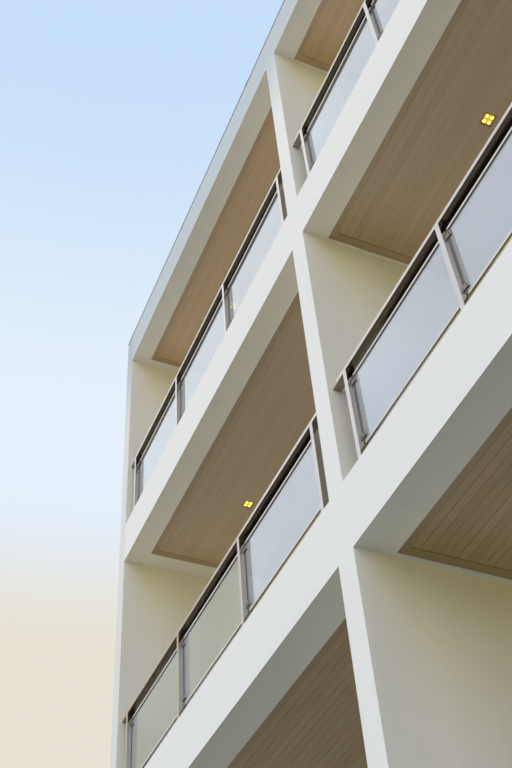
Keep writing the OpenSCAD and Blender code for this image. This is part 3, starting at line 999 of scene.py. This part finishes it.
def add_lamp(work, layer, low, high):
    """A glowing plate at the top of the recess, with four domes whose lowest places are marked brightest."""
    middle = (low + high) / 2
    top = low.z + RECESS
    foot = top - PLATE_T
    add_box(work, (low.x + RIM, low.y + RIM, foot), (high.x - RIM, high.y - RIM, top), PLATE_CUT)
    flat = Matrix.Diagonal((1, 1, LOBE_FLATNESS, 1))
    for x, y in corners(-LOBE, LOBE, -LOBE, LOBE):
        shape = Matrix.Translation((middle.x + x, middle.y + y, foot)) @ flat
        dome = bmesh.ops.create_uvsphere(work, u_segments=12, v_segments=6, radius=LOBE_R, matrix=shape)
        for vertex in dome["verts"]:
            vertex[layer] = max(0.0, (foot - vertex.co.z) / (LOBE_FLATNESS * LOBE_R))


lamp_work = bmesh.new()
lobe_layer = lamp_work.verts.layers.float.new("lobe")
for low, high in lamps:
    add_lamp(lamp_work, lobe_layer, low, high)
finished_piece("downlight_lamps", lamp_work, warm_lamp)

# %% [markdown]
# ## Balustrade details
# A pale flared lip runs along the top of every glass panel on both sides, under a dark top, and a thin dark
# rubber line seats it on the glass. The dark top is the liners' darkened steel, a painted shade. The flare
# hides the lips from the underside of the handrail, which shows no bright line in the picture. Along the
# foot runs a pale strip, painted darker than the lips for the shade there, which turns under the glass as a
# narrow dark flange that stands for the shadow in the gap below the glass. A grey seal closes the gap
# between each panel and its posts, because no light shows through there. The heights were fitted to the
# bright and dark lines in the picture.

# %% Caps, foot strips, rubber lines and side seals
TRIM_WALL = 0.002
TRIM_GAP = 0.0004
CAP_RISE = 0.0015
CAP_FALL = (0.0028, 0.0124)
CAP_FLARE = (0.0060, 0.0007)
RUBBER_LINE = 0.0045
RUBBER_OUT = 0.0011
STRIP_RISE = 0.004
STRIP_DROP = 0.015
FLANGE = 0.0095
FLANGE_T = 0.00375
SEAL_REACH = 0.0095
SEAL_LAP = 0.003
CLAMP_FREE = (0.035, 0.085)
TRIM_FINISH = {"cap_lips": cap_white, "cap_tops": dark_mirror, "foot_strips": strip_white,
               "foot_flanges": flange_bronze, "rubber_lines": rubber, "side_seals": seal_grey}
trims = {name: bmesh.new() for name in TRIM_FINISH}
for low, high in boxes_of("_rail_glass"):
    near, far = low.y - TRIM_GAP, high.y + TRIM_GAP
    front, foot = low.y - TRIM_WALL, low.z - STRIP_DROP
    head, lip_head, lip_foot = (high.z - fall for fall in (-TRIM_GAP, *CAP_FALL))
    rubber_foot = lip_foot - RUBBER_LINE
    for face, way in ((low.y, -1), (high.y, 1)):
        seat, line, flare, thin = (face + way * out for out in (TRIM_GAP, RUBBER_OUT, *CAP_FLARE))
        lip = [(seat, lip_foot), (thin, lip_foot), (flare, lip_head), (seat, lip_head)]
        add_bar(trims["cap_lips"], lip, low.x, high.x)
        y0, y1 = sorted((seat, line))
        add_box(trims["rubber_lines"], (low.x, y0, rubber_foot), (high.x, y1, lip_foot))
    cap = [(low.y - CAP_FLARE[0], lip_head), (near, lip_head), (near, head), (far, head), (far, lip_head),
           (high.y + CAP_FLARE[0], lip_head), (far, high.z + CAP_RISE), (near, high.z + CAP_RISE)]
    add_bar(trims["cap_tops"], cap, low.x, high.x)
    add_box(trims["foot_strips"], (low.x, front, foot), (high.x, near, low.z + STRIP_RISE))
    add_box(trims["foot_flanges"], (low.x, near, foot), (high.x, near + FLANGE, foot + FLANGE_T))
    ends = [low.z + STRIP_RISE + TRIM_GAP, low.z + CLAMP_FREE[0], low.z + CLAMP_FREE[1],
            high.z - CLAMP_FREE[1], high.z - CLAMP_FREE[0], rubber_foot - TRIM_GAP]
    for x0, x1 in ((low.x - SEAL_REACH, low.x + SEAL_LAP), (high.x - SEAL_LAP, high.x + SEAL_REACH)):
        for z0, z1 in zip(ends[::2], ends[1::2]):
            add_box(trims["side_seals"], (x0, front, z0), (x1, near, z1))
for name, finish in TRIM_FINISH.items():
    finished_piece("glass_" + name, trims[name], finish)

# %% [markdown]
# From below the handrails look nearly black and turn olive towards the walls, while their fronts are
# bright. So a liner of darkened polished steel, a painted shade, closes each underside, and mirrors the dark
# floor and the cream wall.

# %% Handrail liners
LINER_T = 0.001
LINER_INSET = 0.004
LINER_END = 0.001
liners = bmesh.new()
for low, high in boxes_of("_handrails"):
    near = (low.x + LINER_END, low.y + LINER_INSET, low.z - LINER_T)
    add_box(liners, near, (high.x - LINER_END, high.y - LINER_INSET, low.z))
finished_piece("handrail_liners", liners, dark_mirror)

# %% [markdown]
# Every clamp has a socket screw in its front cheek. The clamp places follow from the panels of glass, and the
# tree sets one screw on each of them: the points are the vertices of its second input.

# %% Screw tree
CLAMP_INSET = 0.060
CLAMP_GRIP = 0.024
CLAMP_HALF = 0.0133
SCREW_R = 0.005
SCREW_HEAD = 0.003
SCREW_SIDES = 12
SOCKET_R = 0.55 * SCREW_R
SOCKET_FLOOR = 0.3 * SCREW_HEAD


def circle(radius, rise):
    """Places on a circle that faces -Y and stands above the seat of the screw."""
    turns = [2 * math.pi * i / SCREW_SIDES for i in range(SCREW_SIDES)]
    return [(radius * math.cos(turn), -rise, radius * math.sin(turn)) for turn in turns]


def screw_part():
    """A cap screw facing -Y with a round socket, its seat at the origin."""
    work = bmesh.new()
    add_prism(work, [circle(SCREW_R, 0.0), circle(SCREW_R, SCREW_HEAD), circle(SOCKET_R, SCREW_HEAD),
                     circle(SOCKET_R, SOCKET_FLOOR)])
    return work


def point_tree():
    """Sets the part on every vertex of a helper object."""
    tree, given = new_tree("part_on_points", Points_Object="Object")
    info = add(tree, "GeometryNodeObjectInfo", {"Object": given["Points Object"]}, transform_space="RELATIVE")
    return close_tree(tree, given, copies_on(tree, given, info.outputs["Geometry"]))


part_on_points = point_tree()
print("screw head", 2000 * SCREW_R, "mm across")

# %% Screws on the clamps
places = []
for low, high in boxes_of("_rail_glass"):
    clamp_front = (low.y + high.y) / 2 - CLAMP_HALF
    for z in (low.z + CLAMP_INSET, high.z - CLAMP_INSET):
        for x in (low.x + CLAMP_GRIP / 2, high.x - CLAMP_GRIP / 2):
            places.append((x, clamp_front, z))
points_mesh = bpy.data.meshes.new("clamp_points")
points_mesh.from_pydata(places, [], [])
points_object = in_scene("clamp_points", points_mesh)
screws = grown(part_on_points, screw_part(), Points_Object=points_object, Finish=post_steel)
bpy.data.objects.remove(points_object)
finished_piece("clamp_screws", screws, post_steel)

# %% [markdown]
# ## Balcony floors
# Dark stoneware tiles cover each balcony floor, with a skirting of the same tile along the walls. The
# handrails mirror them: cream down to the skirting and nearly black below. A grid tree lays the tiles.

# %% Tile tree
TILE_T = 0.008
TILE_JOINT = 0.003
TILE_SIDE = 0.35
TILE_CUT = 0.001


def grid_tree():
    """Lays the part on a grid of places, centred on a point."""
    sizes = {"Columns": "Int", "Rows": "Int", "Width": "Float", "Depth": "Float"}
    tree, given = new_tree("parts_on_grid", **sizes, Centre="Vector")
    sockets = {"Size X": given["Width"], "Size Y": given["Depth"], "Vertices X": given["Columns"],
               "Vertices Y": given["Rows"]}
    grid = add(tree, "GeometryNodeMeshGrid", sockets).outputs[0]
    placed = add(tree, "GeometryNodeTransform", {"Geometry": grid, "Translation": given["Centre"]}).outputs[0]
    return close_tree(tree, given, copies_on(tree, given, placed))


parts_on_grid = grid_tree()


def tiled_floor(x0, x1, y0, y1, z):
    """Whole tiles that fill a rectangle, as a bmesh."""
    columns, rows = round((x1 - x0) / TILE_SIDE), round((y1 - y0) / TILE_SIDE)
    step_x, step_y = (x1 - x0) / columns, (y1 - y0) / rows
    half_x, half_y = (step_x - TILE_JOINT) / 2, (step_y - TILE_JOINT) / 2
    part = bmesh.new()
    add_box(part, (-half_x, -half_y, 0), (half_x, half_y, TILE_T), TILE_CUT)
    return grown(parts_on_grid, part, Columns=columns, Rows=rows, Width=(columns - 1) * step_x,
                 Depth=(rows - 1) * step_y, Centre=((x0 + x1) / 2, (y0 + y1) / 2, z), Finish=stoneware)


print("tiles about", TILE_SIDE, "m")

# %% Tiles and skirtings
SKIRTING_H = 0.110
SKIRTING_T = 0.009
SKIRTING_CUT = 0.0015
TILE_START = 0.004
tiles, skirtings = bmesh.new(), bmesh.new()
doors = solids("door_frames")
bays = [(low.x, high.x) for low, high in solids("first_handrails")]
for storey in STOREYS:
    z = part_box(storey + ("_slab" if storey == "ground" else "_floor"))[1].z
    y0 = FRONT + TILE_START if storey == "ground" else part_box("first_band")[1].y
    base = z + TILE_T
    for left, right in bays:
        gather(tiles, tiled_floor(left, right, y0, INNER_FACE, z))
        here = [(a, b) for a, b in doors if left < a.x < right and abs(a.z - z) < SAME_LEVEL]
        door_low, door_high = here[0]
        rear = INNER_FACE - SKIRTING_T
        for x0, x1, y in ((left, left + SKIRTING_T, y0), (right - SKIRTING_T, right, y0),
                          (left, door_low.x, rear), (door_high.x, right, rear)):
            add_box(skirtings, (x0, y, base), (x1, INNER_FACE, base + SKIRTING_H), SKIRTING_CUT)
finished_piece("balcony_tiles", tiles, stoneware)
finished_piece("balcony_skirtings", skirtings, stoneware)

# %% [markdown]
# ## Doors and windows
# The sliding doors get a pull, the rear windows a metal sill with a drip and a small handle, and the
# entrance door a long pull bar and three hinges. None of these show in the picture, so they stay plain:
# each set is a short list of boxes, measured from a place on its door or window.

# %% Handles and sills
DOOR_PULL = [((0.0, -0.022, 0.95), (0.022, -0.010, 1.35), 0.003),
             ((0.004, -0.011, 0.98), (0.018, 0.0, 1.00), 0.0),
             ((0.004, -0.011, 1.30), (0.018, 0.0, 1.32), 0.0)]
PULL_INSET = 0.012
WINDOW_HANDLE = [((-0.012, -0.012, 0.55), (0.012, 0.0, 0.62), 0.002),
                 ((-0.008, -0.035, 0.50), (0.008, -0.012, 0.61), 0.003)]
SILL_NOSE = 0.005
SILL_LAP = 0.010
SILL_T = 0.002
SILL_SIDE = 0.002
SILL_GAP = 0.001
SILL_DRIP = 0.020
SILL_SLOPE = (0.006, 0.030)


def add_set(work, spot, parts):
    """Adds boxes that are each given by their low and high corner, measured from a place, and their cut."""
    for low, high, cut in parts:
        add_box(work, Vector(spot) + Vector(low), Vector(spot) + Vector(high), cut)


handles, sills = bmesh.new(), bmesh.new()
for low, high in doors:
    leaf = low.x + (high.x - low.x) / 3
    add_set(handles, (leaf + PULL_INSET, low.y, low.z), DOOR_PULL)
wall_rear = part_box("first_rear_wall")[1].y
nose = wall_rear + SILL_NOSE
for low, high in solids("window_frames"):
    add_set(handles, ((low.x + high.x) / 2, low.y, low.z), WINDOW_HANDLE)
    start, under, drip = high.y - SILL_LAP, low.z + SILL_GAP, low.z - SILL_DRIP
    sill = [(start, under), (nose - SILL_T, under), (nose - SILL_T, drip), (nose, drip),
            (nose, low.z + SILL_SLOPE[0]), (start, low.z + SILL_SLOPE[1])]
    add_bar(sills, sill, low.x + SILL_SIDE, high.x - SILL_SIDE)
finished_piece("door_and_window_handles", handles, trim_steel)
finished_piece("window_sills", sills, coping_sheet)

# %% Entrance door furniture
PULL_BAR = [((0.0, 0.040, -0.45), (0.030, 0.062, 0.45), 0.004),
            ((0.006, 0.0, -0.35), (0.024, 0.042, -0.33), 0.0),
            ((0.006, 0.0, 0.33), (0.024, 0.042, 0.35), 0.0)]
HINGE = [((-0.068, -0.005, 0.0), (-0.052, 0.012, 0.10), 0.003)]
BAR_INSET = 0.16
LEAF_INSET = 0.015
HINGE_INSETS = (0.2, 0.3)
entrance_low, entrance_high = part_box("entrance_door")
furniture = bmesh.new()
face = entrance_high.y - LEAF_INSET
middle_z = (entrance_low.z + entrance_high.z) / 2
add_set(furniture, (entrance_low.x + BAR_INSET, face, middle_z), PULL_BAR)
for z in (entrance_low.z + HINGE_INSETS[0], middle_z, entrance_high.z - HINGE_INSETS[1]):
    add_set(furniture, (entrance_high.x, face, z), HINGE)
finished_piece("entrance_furniture", furniture, trim_steel)

# %% [markdown]
# ## Roof
# Strips of grey felt overlap like scales on the flat roof, laid by the row tree. At the parapet the felt
# turns up, as an outline carried round the roof with its corners mitred.

# %% Felt strips
FELT = ((0.20, 0.21, 0.21, 1), (0.28, 0.28, 0.27, 1))
GRANULE = (0.42, 0.42, 0.40, 1)


def felt_finish():
    """Mineral felt, dark grey with pale granules."""
    material, tree = new_material("mineral_felt")
    grey = blend(tree, patches(tree, 0.8, 1.0, detail=5), *FELT)
    grey = blend(tree, patches(tree, 500.0, 0.5, inside=(0.45, 0.6), detail=1), grey, GRANULE)
    relief = bump(tree, noise(tree, 500.0, detail=2), 0.5, 0.002)
    return principled(material, Base_Color=grey, Roughness=0.95, Normal=relief)


FELT_T = 0.005
FELT_OVERLAP = 0.08
FELT_COUNT = 18
mineral_felt = felt_finish()
roof_low, roof_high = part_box("roof_slab")
felt_step = (roof_high.x - roof_low.x) / FELT_COUNT
felt_wide = felt_step + FELT_OVERLAP
felt_part = bmesh.new()
felt = [(0, 0), (felt_wide, FELT_T), (felt_wide, 2 * FELT_T), (0, FELT_T)]
add_prism(felt_part, [[(x, y, z) for x, z in felt] for y in (roof_low.y, roof_high.y)])
felt_work = grown(row_of_parts, felt_part, Count=FELT_COUNT, Start=(roof_low.x, 0, roof_high.z),
                  Step=(felt_step, 0, 0), Finish=mineral_felt)
for vertex in felt_work.verts:
    vertex.co.x = min(vertex.co.x, roof_high.x)
print(FELT_COUNT, "strips of felt,", round(felt_step, 2), "m apart")

# %% Felt turned up at the parapet
UPSTAND_H = 0.12
UPSTAND_GAP = 0.001
FILLET = 0.05
FILLET_EDGE = 0.012


def add_ring(work, outline):
    """Carries an outline round a rectangle; each place is a rectangle, how far out from it, and a height."""
    rings = []
    for (low, high), out, z in outline:
        rings.append([(x, y, z) for x, y in corners(low.x - out, high.x + out, low.y - out, high.y + out)])
    add_skin(work, rings, closed=True)


parapet_inside = (roof_low, roof_high)
foot, head = roof_high.z, roof_high.z + UPSTAND_H
turned_up = [(-UPSTAND_GAP, foot), (-UPSTAND_GAP, head), (-FELT_T, head), (-FELT_T, foot + FILLET),
             (-FILLET, foot + FILLET_EDGE), (-FILLET, foot)]
add_ring(felt_work, [(parapet_inside, out, z) for out, z in turned_up])
finished_piece("roof_felt", felt_work, mineral_felt)

# %% [markdown]
# The coping is folded from sheet metal in lengths, and a flat strap covers each joint. The sheet stands
# 1.5 mm inside the built coping, so that the straps on it end exactly at the built size.

# %% Coping sheet
SHEET_T = 0.0015
SHEET_BACK = 0.0015
DRIP_LIFT = 0.001
coping_low, coping_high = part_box("roof_coping")
wall_left, wall_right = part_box("left_end_wall")[0].x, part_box("right_end_wall")[1].x
walls = (Vector((wall_left, FRONT, 0)), Vector((wall_right, wall_rear, 0)))
overhang = walls[0].x - coping_low.x
edge = overhang - SHEET_BACK
sheet_top = coping_high.z - SHEET_BACK
drip = coping_low.z + DRIP_LIFT
lined = [(edge, sheet_top), (edge, drip), (edge - SHEET_T, drip), (edge - SHEET_T, sheet_top - SHEET_T)]
coping_work = bmesh.new()
add_ring(coping_work, [(walls, out, z) for out, z in lined]
         + [(parapet_inside, -out, z) for out, z in reversed(lined)])
finished_piece("coping_sheets", coping_work, coping_sheet, ["roof_coping"])

# %% Coping straps
STRAP_T = 0.001
STRAP_W = 0.08
LONG_STRAPS = 8
SIDE_STRAPS = 4


def strap(low, high, along_x):
    """A strap folded over the coping from one side to the other, for a wall that runs along X or Y."""
    part = bmesh.new()
    top, foot, under = coping_high.z, coping_low.z, coping_high.z - STRAP_T
    fold = [(low, top), (low, foot), (low + STRAP_T, foot), (low + STRAP_T, under),
            (high - STRAP_T, under), (high - STRAP_T, foot), (high, foot), (high, top)]
    add_bar(part, fold, -STRAP_W / 2, STRAP_W / 2)
    if not along_x:
        for vertex in part.verts:
            vertex.co.x, vertex.co.y = vertex.co.y, vertex.co.x
    return part


straps = bmesh.new()
for axis, count in ((0, LONG_STRAPS), (1, SIDE_STRAPS)):
    across = 1 - axis
    step = Vector((0, 0, 0))
    step[axis] = (coping_high[axis] - coping_low[axis]) / (count + 1)
    start = step.copy()
    start[axis] += coping_low[axis]
    near = (coping_low[across], roof_low[across] + overhang)
    far = (roof_high[across] - overhang, coping_high[across])
    for low, high in (near, far):
        part = strap(low, high, axis == 0)
        gather(straps, grown(row_of_parts, part, Count=count, Start=start, Step=step, Finish=coping_sheet))
finished_piece("coping_straps", straps, coping_sheet)

# %% [markdown]
# ## Sizes and the end
# The visual model may not grow past the imported block, so its size is printed, as the block's was at the
# start.

# %% Print the visual size
low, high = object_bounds()
print("visual box", [round(side, 3) for side in high - low])
